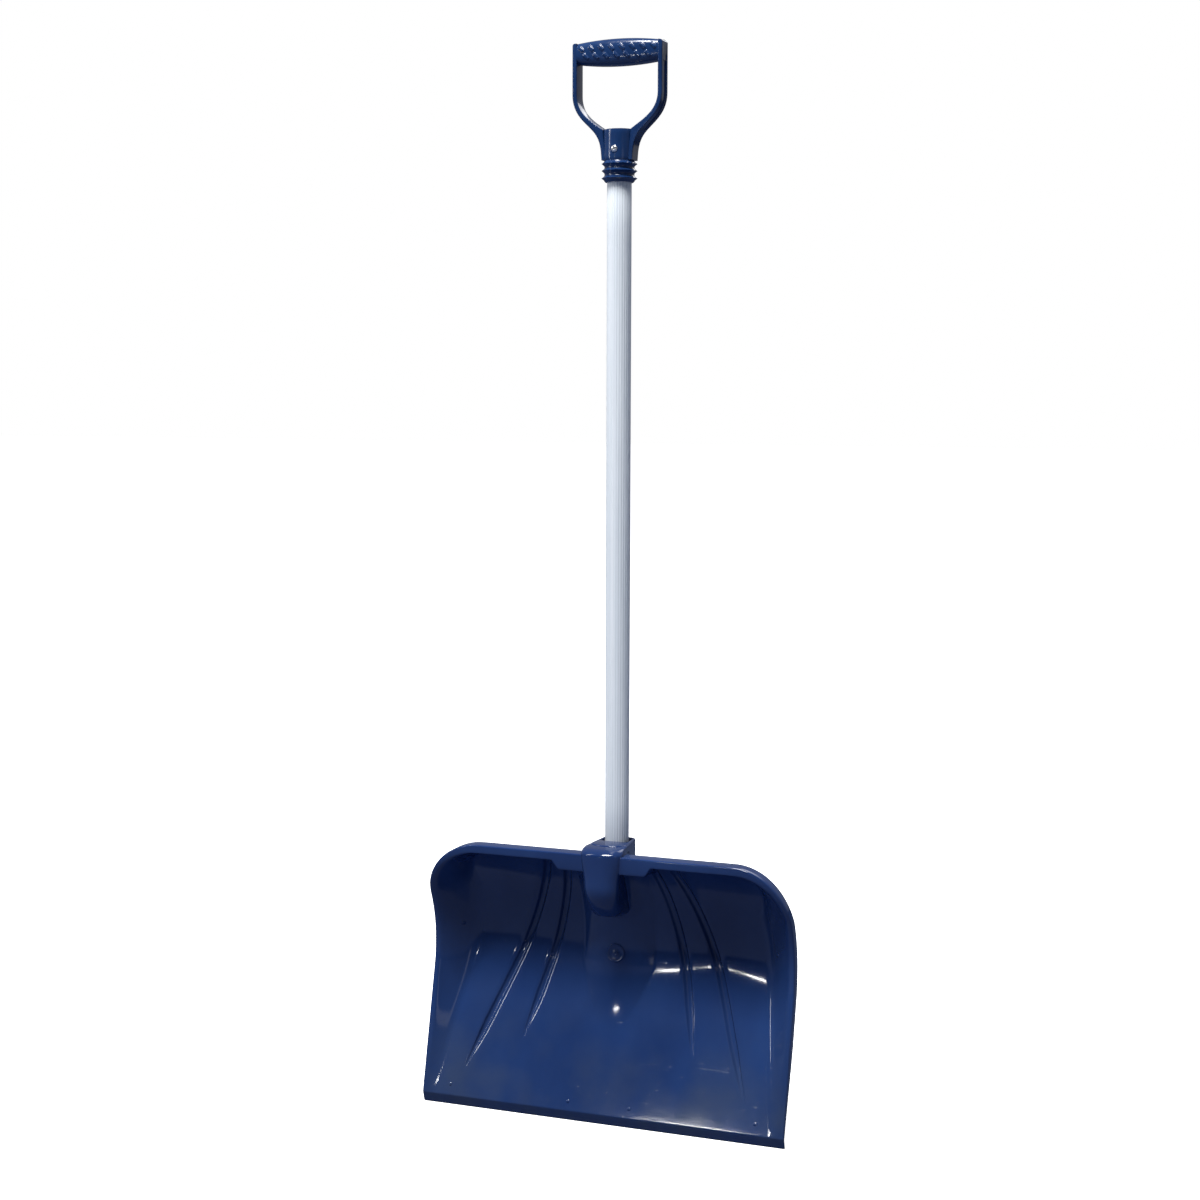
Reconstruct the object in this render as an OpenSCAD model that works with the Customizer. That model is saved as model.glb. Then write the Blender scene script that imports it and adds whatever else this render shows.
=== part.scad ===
/* [Blade] */
// Width of the blade across its side rims
blade_w = 457; // [430:1:480]
// Height of the blade along the shaft direction
blade_h = 322; // [310:1:330]
// Radius of the two upper corners in front view
corner_r = 70; // [50:1:80]
// Wall thickness of the moulding, measured fore and aft
wall_t = 3; // [2.5:0.1:4]
// Height of the turned-down lip along the scraping edge
lip_h = 13; // [10:1:15]
// Depth of the channels pressed into the pan
groove_d = 4.5; // [3:0.1:5]
// Width of the channels at their upper ends
groove_w = 12; // [8:0.5:13]
// Height of the central swelling below the socket
boss_h = 15; // [8:0.5:16]

/* [Socket] */
// Top of the socket above the scraping edge
socket_top = 331; // [328:1:336]
// Outer width of the tube at the back of the socket
tube_w = 39.4; // [36:0.1:42]
// How far the shaft goes into the blade
socket_depth = 65; // [60:1:68]

/* [Shaft] */
// Distance of the shaft's axis behind the scraping edge
shaft_y = 60; // [58:0.5:62]
// Outer diameter of the sleeve over its flutes' crests
sleeve_d = 28.6; // [28:0.1:29.5]
// Outer diameter of the steel core
core_d = 25.4; // [25:0.1:26]
// Wall of the steel core
core_wall = 1; // [0.8:0.1:1.5]
// Length of the shaft from end to end
shaft_len = 890; // [780:1:980]
// Number of flutes round the sleeve
flute_count = 28; // [20:1:32]

/* [Grip] */
// Width of the grip over its arms
grip_w = 110; // [104:1:120]
// Overall height of the grip from the collar to the top of the handle
grip_h = 163; // [158:1:170]
// Fore and aft depth of the arms
arm_depth = 21; // [18:1:24]
// Thickness of the arms
arm_t = 5.4; // [5:0.1:7]
// Outer diameter of the grip's socket
collar_d = 36.5; // [35:0.1:38]

/* [Screws] */
// Shank diameter of the grip's screw
grip_screw_d = 4; // [3.5:0.1:4.5]
// Shank diameter of the blade's screw
blade_screw_d = 4.8; // [4:0.1:5]

/* [Hidden] */
$fn = 64;

plastic_blue = [0.10, 0.17, 0.34];
sleeve_grey = [0.76, 0.80, 0.84];
steel_grey = [0.62, 0.63, 0.65];

// The shaft stands on the floor of the blade's socket and ends under the grip's cap.
fit_gap = 0.1;
shaft_z0 = socket_top - socket_depth;
shaft_z1 = shaft_z0 + shaft_len;

half_w = blade_w / 2;
corner_x = half_w - corner_r;
corner_z = blade_h - corner_r;

// ---------------------------------------------------------------- curves

// Cubic between two heights, from given offsets and slopes at both ends.
function cubic(z, z0, y0, s0, z1, y1, s1) =
    let (h = z1 - z0, t = (z - z0) / h)
    (2*t^3 - 3*t^2 + 1) * y0 + (t^3 - 2*t^2 + t) * h * s0
    + (3*t^2 - 2*t^3) * y1 + (t^3 - t^2) * h * s1;

function clamp01(t) = min(max(t, 0), 1);
function ease(t) = let (c = clamp01(t)) c * c * (3 - 2 * c);
function mix(a, b, t) = a + (b - a) * t;

// Front edge of the rim, seen from the side: it leans back, then curls forward.
lip_y = -4;
rim_slope = 0.235;
rim_belly_z = 197;
rim_belly_y = 34.5;
rim_straight_z = 165;
rim_neck_z = 262;
rim_neck_y = 17.5;
rim_neck_slope = -0.5;
rim_top_y = 4.5;
rim_line = function (z) lip_y + rim_slope * (z - lip_h);
function rim_y(z) =
    z < lip_h ? lip_y * z / lip_h :
    z < rim_straight_z ? rim_line(z) :
    z < rim_belly_z ? cubic(z, rim_straight_z, rim_line(rim_straight_z), rim_slope,
                            rim_belly_z, rim_belly_y, 0) :
    z < rim_neck_z ? cubic(z, rim_belly_z, rim_belly_y, 0, rim_neck_z, rim_neck_y, rim_neck_slope) :
    cubic(z, rim_neck_z, rim_neck_y, rim_neck_slope, blade_h, rim_top_y, 0);

// Front surface of the pan along the middle: a ramp, a bend, and a back that curls forward.
foot_slope = 0.40;
ramp_z = 110;
ramp_y = 38.5;
ramp_slope = 0.48;
bend_z = 150;
bend_y = 58.5;
bend_slope = 0.46;
pan_belly_z = 210;
pan_belly_y = 73;
pan_curl_r = 134;
function pan_y(z) =
    z < ramp_z ? cubic(z, lip_h, lip_y, foot_slope, ramp_z, ramp_y, ramp_slope) :
    z < bend_z ? cubic(z, ramp_z, ramp_y, ramp_slope, bend_z, bend_y, bend_slope) :
    z < pan_belly_z ? cubic(z, bend_z, bend_y, bend_slope, pan_belly_z, pan_belly_y, 0) :
    pan_belly_y - pan_curl_r + sqrt(pan_curl_r^2 - (z - pan_belly_z)^2);

// Centre lines of the two channels on each side, fanning out from the socket.
inner_foot = 85;
outer_foot = 45;
inner_foot_x = 108;
outer_foot_x = 177;
inner_lean = 0.243;
outer_lean = 0.375;
function inner_x(z) = inner_foot_x - inner_lean * (z - inner_foot);
function outer_x(z) = outer_foot_x - outer_lean * (z - outer_foot);

// A channel starts at its foot as a narrow, shallow line and grows over these heights.
groove_widen_h = 70;
groove_deepen_h = 40;
foot_part = 0.25;
function groove_half(z, foot) =
    groove_w / 2 * max(0.1, clamp01(foot_part + (z - foot) / groove_widen_h));
function groove_at(x, z, cx, foot) =
    let (w = groove_half(z, foot), d = abs(abs(x) - cx))
    z < foot || d >= w ? 0 : groove_d * clamp01((z - foot) / groove_deepen_h) * (1 - (d / w)^2);

// Half-width and height of the central swelling.
boss_foot = 104;
boss_w = 92;
boss_widen_h = 75;
boss_rise_h = 90;
function boss_half(z) = boss_w / 2 * max(0.1, sqrt(clamp01((z - boss_foot) / boss_widen_h)));
function boss_at(x, z) =
    let (w = boss_half(z))
    abs(x) >= w ? 0 : boss_h * ease((z - boss_foot) / boss_rise_h) * (1 - (x / w)^2);

// The upper pan is a little deeper where the channels run than beside the socket.
belly_d = 3;
belly_x = 125;
belly_half_w = 45;
belly_rise_h = 50;
function belly_at(x, z) =
    belly_d * ease((z - bend_z) / belly_rise_h) * exp(-((abs(x) - belly_x) / belly_half_w)^2);

function floor_y(x, z) =
    pan_y(z) + belly_at(x, z) - boss_at(x, z)
    + groove_at(x, z, inner_x(z), inner_foot) + groove_at(x, z, outer_x(z), outer_foot);

// The rim: its flat front face is wider along the top, and widest beside the socket.
rim_side_w = 6;
rim_top_w = 10;
rim_hood_w = 21;
rim_step_x = 53;
rim_step_w = 11;
function rim_face_w(x, up) =
    mix(rim_side_w, mix(rim_top_w, rim_hood_w, 1 - ease((abs(x) - rim_step_x) / rim_step_w)), up);

// Width of the slope from the rim's face down to the pan's floor.
top_slope_w = 4;
side_slope_foot = 12.5;
side_slope_grow = 0.145;
function side_slope_w(z) = side_slope_foot + side_slope_grow * z;
function slope_w(z, up) = mix(side_slope_w(z), top_slope_w, up);

// Rise of that slope: a fillet at the floor, then straight up to the rim.
fillet_part = 0.4;
function slope_rise(s) =
    s < fillet_part ? s^2 / (fillet_part * (2 - fillet_part))
                    : (2 * s - fillet_part) / (2 - fillet_part);

// Distance in from the outline, and how much of it counts as the top side (0 to 1).
function inset_of(x, z) =
    let (a = abs(x) - corner_x, b = z - corner_z)
    a > 0 && b > 0 ? corner_r - norm([a, b]) : min(half_w - abs(x), blade_h - z);
function upness(x, z) =
    let (a = abs(x) - corner_x, b = z - corner_z)
    b <= 0 ? 0 : a <= 0 ? 1 : ease(atan2(b, a) / 90);

// Fore and aft depth of the skirt that stiffens the rim from behind.
skirt_t = 3;
skirt_foot_d = 3.5;
skirt_side_d = 13;
skirt_top_d = 20;
skirt_rise_h = 120;
function skirt_depth(z, up) =
    mix(mix(skirt_foot_d, skirt_side_d, ease(z / skirt_rise_h)), skirt_top_d, up);

function front_y(x, z) =
    z <= lip_h ? rim_y(z) :
    let (up = upness(x, z), d = inset_of(x, z) - rim_face_w(x, up), w = slope_w(z, up))
    d <= 0 ? rim_y(z) :
    let (f = max(floor_y(x, z), rim_y(z)))
    d >= w ? f : f - (f - rim_y(z)) * slope_rise(1 - d / w);

function back_y(x, z, inset) =
    inset < skirt_t ? rim_y(z) + skirt_depth(z, upness(x, z)) : front_y(x, z) + wall_t;

// ---------------------------------------------------------------- blade shell

// Columns of the shell's grid on the right half, as x at a given height.
skirt_bend = 0.3;
rim_insets = [rim_side_w, skirt_t + skirt_bend, skirt_t - skirt_bend, 0];
slope_steps = [1, 0.8, 0.55, 0.25];
lowest_outer = 30;
boss_gap = 4;
function slope_x(z, s) = half_w - rim_side_w - side_slope_w(z) * s;
function columns(z) =
    let (gi = groove_half(z, inner_foot), go = groove_half(z, outer_foot),
         xi = inner_x(z), xo = outer_x(max(z, lowest_outer)),
         b = min(boss_half(z), xi - gi - boss_gap))
    concat([0, b / 2, b, (b + xi - gi) / 2, xi - gi, xi, xi + gi, (xi + xo) / 2,
            xo - go, xo, xo + go],
           [for (s = slope_steps) slope_x(z, s)],
           [for (d = rim_insets) half_w - d]);

rows = [0, lip_h, 36, 60, 84, 104, 116, 130, 145, 160, 176, 192, 210, 228, 244,
        corner_z, 264, 277, 290, blade_h - rim_hood_w - top_slope_w, blade_h - rim_hood_w,
        blade_h - rim_top_w - top_slope_w, blade_h - rim_top_w, blade_h - skirt_t - skirt_bend,
        blade_h - skirt_t + skirt_bend, blade_h];

// Bends the square grid into the rounded corner, ring by ring.
function to_outline(x, z) =
    let (a = (x - corner_x) / corner_r, b = (z - corner_z) / corner_r)
    a <= 0 || b <= 0 ? [x, z] :
    let (r = max(a, b), t = a >= b ? 45 * b / a : 90 - 45 * a / b)
    [corner_x + corner_r * r * cos(t), corner_z + corner_r * r * sin(t)];

function grid_row(z) =
    let (right = [for (x = columns(z)) to_outline(x, z)],
         left = [for (i = [len(right) - 1 : -1 : 1]) [-right[i][0], right[i][1]]])
    concat(left, right);

function grid_faces(nx, nz, offset, flip) =
    [for (j = [0 : nz - 2], i = [0 : nx - 2])
        let (a = offset + j * nx + i, b = a + 1, c = b + nx, d = a + nx)
        each flip ? [[a, b, c], [a, c, d]] : [[a, c, b], [a, d, c]]];

// Closes the gap between the edge of the front grid and the edge of the back grid.
function band_faces(loop, shift) =
    [for (i = [0 : len(loop) - 1])
        let (p = loop[i], q = loop[(i + 1) % len(loop)])
        each [[p, q, p + shift], [q, q + shift, p + shift]]];

module pan() {
    flat = [for (z = rows) each grid_row(z)];
    nz = len(rows);
    nx = len(flat) / nz;
    count = len(flat);
    edge = concat([for (i = [0 : nx - 2]) i], [for (j = [0 : nz - 2]) j * nx + nx - 1],
                  [for (i = [nx - 1 : -1 : 1]) (nz - 1) * nx + i],
                  [for (j = [nz - 1 : -1 : 1]) j * nx]);
    points = concat([for (p = flat) [p[0], front_y(p[0], p[1]), p[1]]],
                    [for (p = flat) [p[0], back_y(p[0], p[1], inset_of(p[0], p[1])), p[1]]]);
    polyhedron(points, concat(grid_faces(nx, nz, 0, false),
               grid_faces(nx, nz, count, true), band_faces(edge, count)), convexity = 8);
}

// ---------------------------------------------------------------- socket

// Half-width and front surface of the hood over the shaft's end, by height. Its foot is a
// blunt nose that leans back, it widens into the flange, and its top is domed back to the lip.
hood_foot = 241;
hood_foot_w = 11;
hood_w = 21.5;
hood_widen_h = 12;
hood_flare = 4.7;
hood_flare_z = 285;
hood_taper = 3;
hood_taper_h = 50;
hood_y = -4;
nose_lean = 28;
nose_lean_h = 45;
nose_under = 16;
nose_under_h = 6;
dome_in = 3.7;
dome_back = 24;
function dome(z) = let (v = clamp01((z - blade_h) / (socket_top - blade_h))) 1 - sqrt(1 - v^2);
function hood_half(z) =
    mix(hood_foot_w, hood_w, 1 - (1 - clamp01((z - hood_foot) / hood_widen_h))^1.8)
    - hood_taper * (1 - ease((z - hood_foot) / hood_taper_h))
    + hood_flare * ease((z - hood_flare_z) / (blade_h - hood_flare_z)) - dome_in * dome(z);
function hood_front(z) =
    hood_y + nose_lean * (1 - clamp01((z - hood_foot) / nose_lean_h))^2
    + nose_under * (1 - clamp01((z - hood_foot) / nose_under_h))^1.5 + dome_back * dome(z);

// A ring of the hood: a rounded front on straight sides, shrunk by t for its hollow.
hood_depth = 14;
hood_back = 72;
hood_round = 0.95;
hood_points = 28;
hood_levels = [242.5, 244.5, 247, 250, 253, 259, 266, 275, 285, 295, 305, 314, blade_h, 325, 328, 330];
function hood_ring(z, t, back) =
    let (w = hood_half(z) - t, y0 = hood_front(z) + t, yc = min(y0 + hood_depth - t, back - 2),
         rear_w = min(w, tube_w / 2 - t))
    concat([for (i = [0 : hood_points])
        let (a = 180 * i / hood_points, c = cos(a), s = sin(a))
        [w * sign(c) * abs(c)^hood_round, yc - (yc - y0) * s^hood_round, z]],
        [[-rear_w, back, z], [rear_w, back, z]]);

module hood_solid(t, back, z0, z1) {
    levels = concat([z0], [for (z = hood_levels) if (z > z0 + 0.5 && z < z1 - 0.5) z], [z1]);
    rings = [for (z = levels) hood_ring(z, t, back)];
    n = len(rings[0]);
    top = len(levels) - 1;
    points = [for (j = [0 : top]) each [for (p = rings[j]) [p[0], p[1], levels[j]]]];
    polyhedron(points, concat([[for (i = [n - 1 : -1 : 0]) i]], [[for (i = [0 : n - 1]) top * n + i]],
               [for (j = [0 : top - 1], i = [0 : n - 1])
                    let (k = (i + 1) % n, a = j * n + i, b = j * n + k)
                    each [[a, b, b + n], [a, b + n, a + n]]]), convexity = 4);
}

// The flange stops at both sides of the hood and laps a little into it: this is the room
// between its ends.
slot_y = 40;
slot_lap = 2.2;
module hood_slot() {
    heights = concat([hood_foot], [for (z = hood_levels) if (z <= blade_h) z]);
    right = concat([for (z = heights) [hood_half(z) - slot_lap, z]],
                   [[hood_half(blade_h) - slot_lap, socket_top + 5]]);
    left = [for (i = [len(right) - 1 : -1 : 0]) [-right[i][0], right[i][1]]];
    translate([0, slot_y, 0]) rotate([90, 0, 0]) linear_extrude(slot_y + 10)
        polygon(concat(right, left));
}

tube_wall = 3;
tube_corner = 8;
tube_back = shaft_y + sleeve_d / 2 + fit_gap + tube_wall;
rear_band_h = 9;
rear_band_t = 1.2;

module tube_plan(w, back) {
    r = tube_corner;
    translate([-w / 2, shaft_y]) square([w, back - shaft_y - r]);
    translate([-w / 2 + r, back - 2 * r]) square([w - 2 * r, 2 * r]);
    for (side = [-1, 1]) translate([side * (w / 2 - r), back - r]) circle(r);
}

module socket_tube() {
    translate([0, 0, hood_foot]) linear_extrude(socket_top - hood_foot) tube_plan(tube_w, tube_back);
    translate([0, 0, socket_top - rear_band_h]) linear_extrude(rear_band_h)
        tube_plan(tube_w + 2 * rear_band_t, tube_back + rear_band_t);
}

// The hood is hollow from above its nose to below its lip, and opens into the shaft's bore.
hollow_back = shaft_y - 6;
hollow_z0 = hood_foot + 11;
hollow_z1 = socket_top - 4;

// Relief beside the shaft at the mouth of the socket.
mouth_w = 34;
mouth_d = 24;
mouth_depth = 22;
blade_screw_z = 288;

module blade() color(plastic_blue) resize([blade_w, 0, 0]) difference() {
    union() {
        difference() {
            pan();
            hood_slot();
        }
        hood_solid(0, hood_back, hood_foot, socket_top);
        socket_tube();
    }
    hood_solid(wall_t, hollow_back, hollow_z0, hollow_z1);
    translate([0, shaft_y, shaft_z0]) cylinder(d = sleeve_d + 2 * fit_gap, h = socket_depth + 1);
    translate([-mouth_w / 2, shaft_y - mouth_d / 2, socket_top - mouth_depth])
        cube([mouth_w, mouth_d, mouth_depth + 1]);
    translate([0, shaft_y, blade_screw_z]) rotate([-90, 0, 0])
        cylinder(d = blade_screw_d + 2 * fit_gap, h = 40);
}

// ---------------------------------------------------------------- shaft

grip_screw_z = 1141;

module screw_holes() {
    translate([0, shaft_y, blade_screw_z]) rotate([-90, 0, 0])
        cylinder(d = blade_screw_d + 2 * fit_gap, h = 30);
    translate([0, shaft_y, grip_screw_z]) rotate([90, 0, 0])
        cylinder(d = grip_screw_d + 2 * fit_gap, h = 30);
}

module shaft_core() color(steel_grey) difference() {
    translate([0, shaft_y, shaft_z0]) cylinder(d = core_d, h = shaft_len);
    translate([0, shaft_y, shaft_z0 - 1]) cylinder(d = core_d - 2 * core_wall, h = shaft_len + 2);
    screw_holes();
}

flute_w = 0.76;
flute_d = 0.4;

module shaft_sleeve() color(sleeve_grey) difference() {
    translate([0, shaft_y, shaft_z0]) cylinder(d = sleeve_d, h = shaft_len);
    translate([0, shaft_y, shaft_z0 - 1]) cylinder(d = core_d, h = shaft_len + 2);
    for (i = [0 : flute_count - 1])
        translate([0, shaft_y, shaft_z0 - 1]) rotate(360 * (i + 0.5) / flute_count)
            translate([sleeve_d / 2 - flute_d, -flute_w / 2, 0]) cube([2, flute_w, shaft_len + 2]);
    screw_holes();
}

// ---------------------------------------------------------------- grip

grip_overlap = 52;
collar_h = 60;
bar_mid = [12.5, 15.5];
bar_end = [10.5, 11.2];
grip_z0 = shaft_z1 - grip_overlap;
cap_z = grip_z0 + collar_h;
handle_z = grip_z0 + grip_h - bar_mid[1];
ring_z = [4.5, 13, 21];
ring_r = collar_d / 2 + 2.6;
ring_half_h = 3.4;

// Outline of the grip's socket from the axis outwards: neck, three sharp rings, plain barrel.
module collar_profile() {
    r = collar_d / 2;
    polygon(concat([[0, 0], [r - 1.8, 0], [r - 1.8, 1.5]],
        [for (z = ring_z) each [[r - 0.8, z - ring_half_h], [ring_r, z - 0.4],
                                [ring_r, z + 0.4], [r - 0.8, z + ring_half_h]]],
        [[r, 27], [r, collar_h - 1], [r - 1, collar_h], [0, collar_h]]));
}

// Outer edge of the right arm in front view, from the handle down to the collar.
arm_knee_z = grip_z0 + 101;
arm_out = grip_w / 2;
function bezier(p, t) =
    (1-t)^3 * p[0] + 3 * (1-t)^2 * t * p[1] + 3 * (1-t) * t^2 * p[2] + t^3 * p[3];
arm_steps = 14;
knee_end = [arm_out - 29, arm_knee_z - 47];
fin_foot_z = arm_knee_z - 76;
knee_curve = [[arm_out, arm_knee_z], [arm_out, arm_knee_z - 26],
              [arm_out - 20, arm_knee_z - 34], knee_end];
fin_curve = [knee_end, [arm_out - 35, arm_knee_z - 56],
             [collar_d / 2 + 1.5, arm_knee_z - 64], [collar_d / 2 + 1, fin_foot_z]];
inner_curve = [[arm_out - arm_t, arm_knee_z], [arm_out - arm_t, arm_knee_z - 22],
               [arm_out - 22, arm_knee_z - 30], [collar_d / 2 - 1, cap_z]];

module arm_outline(grow) {
    polygon(concat(
        [[arm_out - grow, handle_z]],
        [for (i = [0 : arm_steps]) bezier(knee_curve, i / arm_steps) - [grow, 0]],
        [for (i = [1 : arm_steps]) bezier(fin_curve, i / arm_steps) - [grow, 0]],
        [[collar_d / 2 - 4, fin_foot_z], [collar_d / 2 - 4, cap_z - 2]],
        [for (i = [arm_steps : -1 : 0]) bezier(inner_curve, i / arm_steps)],
        [[arm_out - arm_t, handle_z]]));
}

channel_d = 1.8;
channel_w = arm_depth - 8;

module arm() {
    difference() {
        translate([0, arm_depth / 2, 0]) rotate([90, 0, 0]) linear_extrude(arm_depth) arm_outline(0);
        translate([0, channel_w / 2, 0]) rotate([90, 0, 0]) linear_extrude(channel_w)
            difference() {
                translate([0, fin_foot_z]) square([arm_out + 5, handle_z - arm_knee_z + 60]);
                arm_outline(channel_d);
                translate([0, fin_foot_z - 10]) square([knee_end[0], handle_z - fin_foot_z]);
            }
    }
}

// The handle bar swells in the middle and is squarish in section.
bar_square = 0.7;
bar_sections = 20;
bar_points = 28;
function bar_ring(u) =
    let (k = 1 - u * u, ry = mix(bar_end[0], bar_mid[0], k), rz = mix(bar_end[1], bar_mid[1], k))
    [for (i = [0 : bar_points - 1])
        let (t = 360 * i / bar_points, c = cos(t), s = sin(t))
        [u * arm_out, ry * sign(c) * abs(c)^bar_square, rz * sign(s) * abs(s)^bar_square]];

module bar() {
    n = bar_points;
    rings = [for (i = [0 : bar_sections]) bar_ring(-1 + 2 * i / bar_sections)];
    polyhedron([for (r = rings) each r],
        concat([[for (i = [0 : n - 1]) i]], [[for (i = [n - 1 : -1 : 0]) bar_sections * n + i]],
               [for (j = [0 : bar_sections - 1], i = [0 : n - 1])
                    let (k = (i + 1) % n, a = j * n + i, b = j * n + k)
                    each [[a, a + n, b], [b, a + n, b + n]]]), convexity = 4);
}

// Slanted studs in two staggered rows on the front and the back of the bar.
stud_pitch = 12.6;
stud_row = 4.6;
stud_size = [9, 3, 4];
stud_sink = 1.3;
module studs() {
    for (face = [-1, 1]) {
        for (i = [-3.5 : 3.5]) stud(i * stud_pitch, face, stud_row);
        for (i = [-3 : 3]) stud(i * stud_pitch, face, -stud_row);
    }
}
module stud(x, face, z) {
    u = x / arm_out;
    ry = mix(bar_end[0], bar_mid[0], 1 - u * u);
    translate([x, face * (ry - stud_sink), z]) rotate([0, -face * 45, 0])
        cube(stud_size, center = true);
}

// Flat seat of the grip's screw, cut a little into the front of the socket.
grip_seat_d = 10;
grip_seat_in = 0.8;

module d_grip() color(plastic_blue) translate([0, shaft_y, 0]) difference() {
    union() {
        translate([0, 0, grip_z0]) rotate_extrude() collar_profile();
        arm();
        mirror([1, 0, 0]) arm();
        translate([0, 0, handle_z]) resize([grip_w, 0, 0]) union() {
            bar();
            studs();
        }
    }
    translate([0, 0, grip_z0 - 1])
        cylinder(d = sleeve_d + 2 * fit_gap, h = grip_overlap + 1 + fit_gap);
    translate([0, 0, grip_screw_z]) rotate([90, 0, 0])
        cylinder(d = grip_screw_d + 2 * fit_gap, h = 40);
    translate([0, grip_seat_in - collar_d / 2, grip_screw_z]) rotate([90, 0, 0])
        cylinder(d = grip_seat_d, h = 10);
}

// ---------------------------------------------------------------- screws

// A pan-head screw along +Z from its seat, with a cross recess and a pointed end.
module pan_screw(d, head_d, head_h, len) {
    difference() {
        rotate_extrude() polygon([[0, -len], [d / 2, -len + d], [d / 2, 0], [head_d / 2, 0],
            [head_d / 2, head_h * 0.45], [head_d / 2 - head_h * 0.3, head_h * 0.85],
            [head_d / 2 - head_h * 0.7, head_h], [0, head_h]]);
        for (a = [0, 90]) rotate(a) translate([-head_d / 4, -0.5, head_h * 0.4])
            cube([head_d / 2, 1, head_h]);
    }
}

module grip_screw() color(steel_grey)
    translate([0, shaft_y - collar_d / 2 + grip_seat_in, grip_screw_z]) rotate([90, 0, 0])
        pan_screw(grip_screw_d, 8.2, 2.6, 14);

module blade_screw() color(steel_grey)
    translate([0, tube_back, blade_screw_z]) rotate([-90, 0, 0])
        pan_screw(blade_screw_d, 9.6, 3, 16);

blade();
shaft_core();
shaft_sleeve();
d_grip();
grip_screw();
blade_screw();
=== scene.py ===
"""A long-handled snow shovel: moulded scoop with a hooded socket, fluted shaft and D-shaped grip."""

import math

import bpy
import numpy as np
from mathutils import Matrix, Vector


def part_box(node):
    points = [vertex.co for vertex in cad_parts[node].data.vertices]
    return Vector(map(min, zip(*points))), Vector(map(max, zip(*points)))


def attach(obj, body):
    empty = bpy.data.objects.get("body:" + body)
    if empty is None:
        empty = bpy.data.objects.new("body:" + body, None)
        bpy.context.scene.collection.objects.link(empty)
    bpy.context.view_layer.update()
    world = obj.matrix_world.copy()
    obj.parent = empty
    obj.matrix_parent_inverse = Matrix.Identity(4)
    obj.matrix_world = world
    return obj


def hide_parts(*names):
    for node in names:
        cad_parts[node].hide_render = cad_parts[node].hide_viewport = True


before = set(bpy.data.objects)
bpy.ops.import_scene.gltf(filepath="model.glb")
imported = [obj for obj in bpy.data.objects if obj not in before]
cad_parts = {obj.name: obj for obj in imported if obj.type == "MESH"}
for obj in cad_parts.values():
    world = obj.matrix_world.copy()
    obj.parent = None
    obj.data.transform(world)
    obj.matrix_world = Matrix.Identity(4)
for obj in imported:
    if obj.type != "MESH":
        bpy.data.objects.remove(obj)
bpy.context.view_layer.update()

# ---------------------------------------------------------------- sizes, in millimetres

MM = 0.001


def node_box(name):
    """Lowest and highest corner of a CAD node in millimetres."""
    low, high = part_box(name)
    return np.array(low) / MM, np.array(high) / MM


blade_high = node_box("blade")[1]
sleeve_low, sleeve_high = node_box("shaft_sleeve")
core_low, core_high = node_box("shaft_core")
grip_low, grip_high = node_box("d_grip")
grip_screw_low, grip_screw_high = node_box("grip_screw")
blade_screw_low, blade_screw_high = node_box("blade_screw")

HALF_W = blade_high[0]
SOCKET_TOP = blade_high[2]
SOCKET_RISE = 9
BLADE_H = SOCKET_TOP - SOCKET_RISE
WALL_T = 3
FIT_GAP = 0.1
LIP_H = 13
LIP_Y = -4
CORNER_R = 70
CORNER_X = HALF_W - CORNER_R
CORNER_Z = BLADE_H - CORNER_R
SHAFT_Y = (sleeve_low[1] + sleeve_high[1]) / 2
SLEEVE_R = (sleeve_high[0] - sleeve_low[0]) / 2
CORE_R = (core_high[0] - core_low[0]) / 2

# ---------------------------------------------------------------- curves of the scoop


def smooth(t):
    """Eases from 0 to 1 and holds outside."""
    c = np.clip(t, 0, 1)
    return c * c * (3 - 2 * c)


def mix(a, b, t):
    return a + (b - a) * t


def cubic(z, z0, y0, s0, z1, y1, s1):
    """Cubic from (z0, y0) to (z1, y1) with slopes s0 and s1."""
    h = z1 - z0
    t = (z - z0) / h
    return ((2 * t**3 - 3 * t**2 + 1) * y0 + (t**3 - 2 * t**2 + t) * h * s0
            + (3 * t**2 - 2 * t**3) * y1 + (t**3 - t**2) * h * s1)


def soft_max(a, b, k):
    """The larger of a and b, rounded over a width of about k where they cross."""
    return (a + b + np.sqrt((a - b) ** 2 + k * k)) / 2


def soft_min(a, b, k):
    return -soft_max(-a, -b, k)


RIM_SLOPE, RIM_NECK_SLOPE = 0.235, -0.5
RIM_STRAIGHT_Z, RIM_BELLY_Z, RIM_NECK_Z = 165, 197, 262
RIM_BELLY_Y, RIM_NECK_Y, RIM_TOP_Y = 34.5, 17.5, 4.5


def rim_line(z):
    return LIP_Y + RIM_SLOPE * (z - LIP_H)


def rim_y(z):
    """Front face of the rim, seen from the side: it leans back, then curls forward."""
    return np.select(
        [z < RIM_STRAIGHT_Z, z < RIM_BELLY_Z, z < RIM_NECK_Z],
        [rim_line(z),
         cubic(z, RIM_STRAIGHT_Z, rim_line(RIM_STRAIGHT_Z), RIM_SLOPE, RIM_BELLY_Z, RIM_BELLY_Y, 0),
         cubic(z, RIM_BELLY_Z, RIM_BELLY_Y, 0, RIM_NECK_Z, RIM_NECK_Y, RIM_NECK_SLOPE)],
        cubic(z, RIM_NECK_Z, RIM_NECK_Y, RIM_NECK_SLOPE, BLADE_H, RIM_TOP_Y, 0))


RAMP_Z, RAMP_Y = 110, 38.5
BEND_Z, BEND_Y = 150, 58.5
BELLY_Z, BELLY_Y, CURL_R = 210, 73, 134
FOOT_SLOPE, RAMP_SLOPE, BEND_SLOPE = 0.40, 0.48, 0.46


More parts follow.
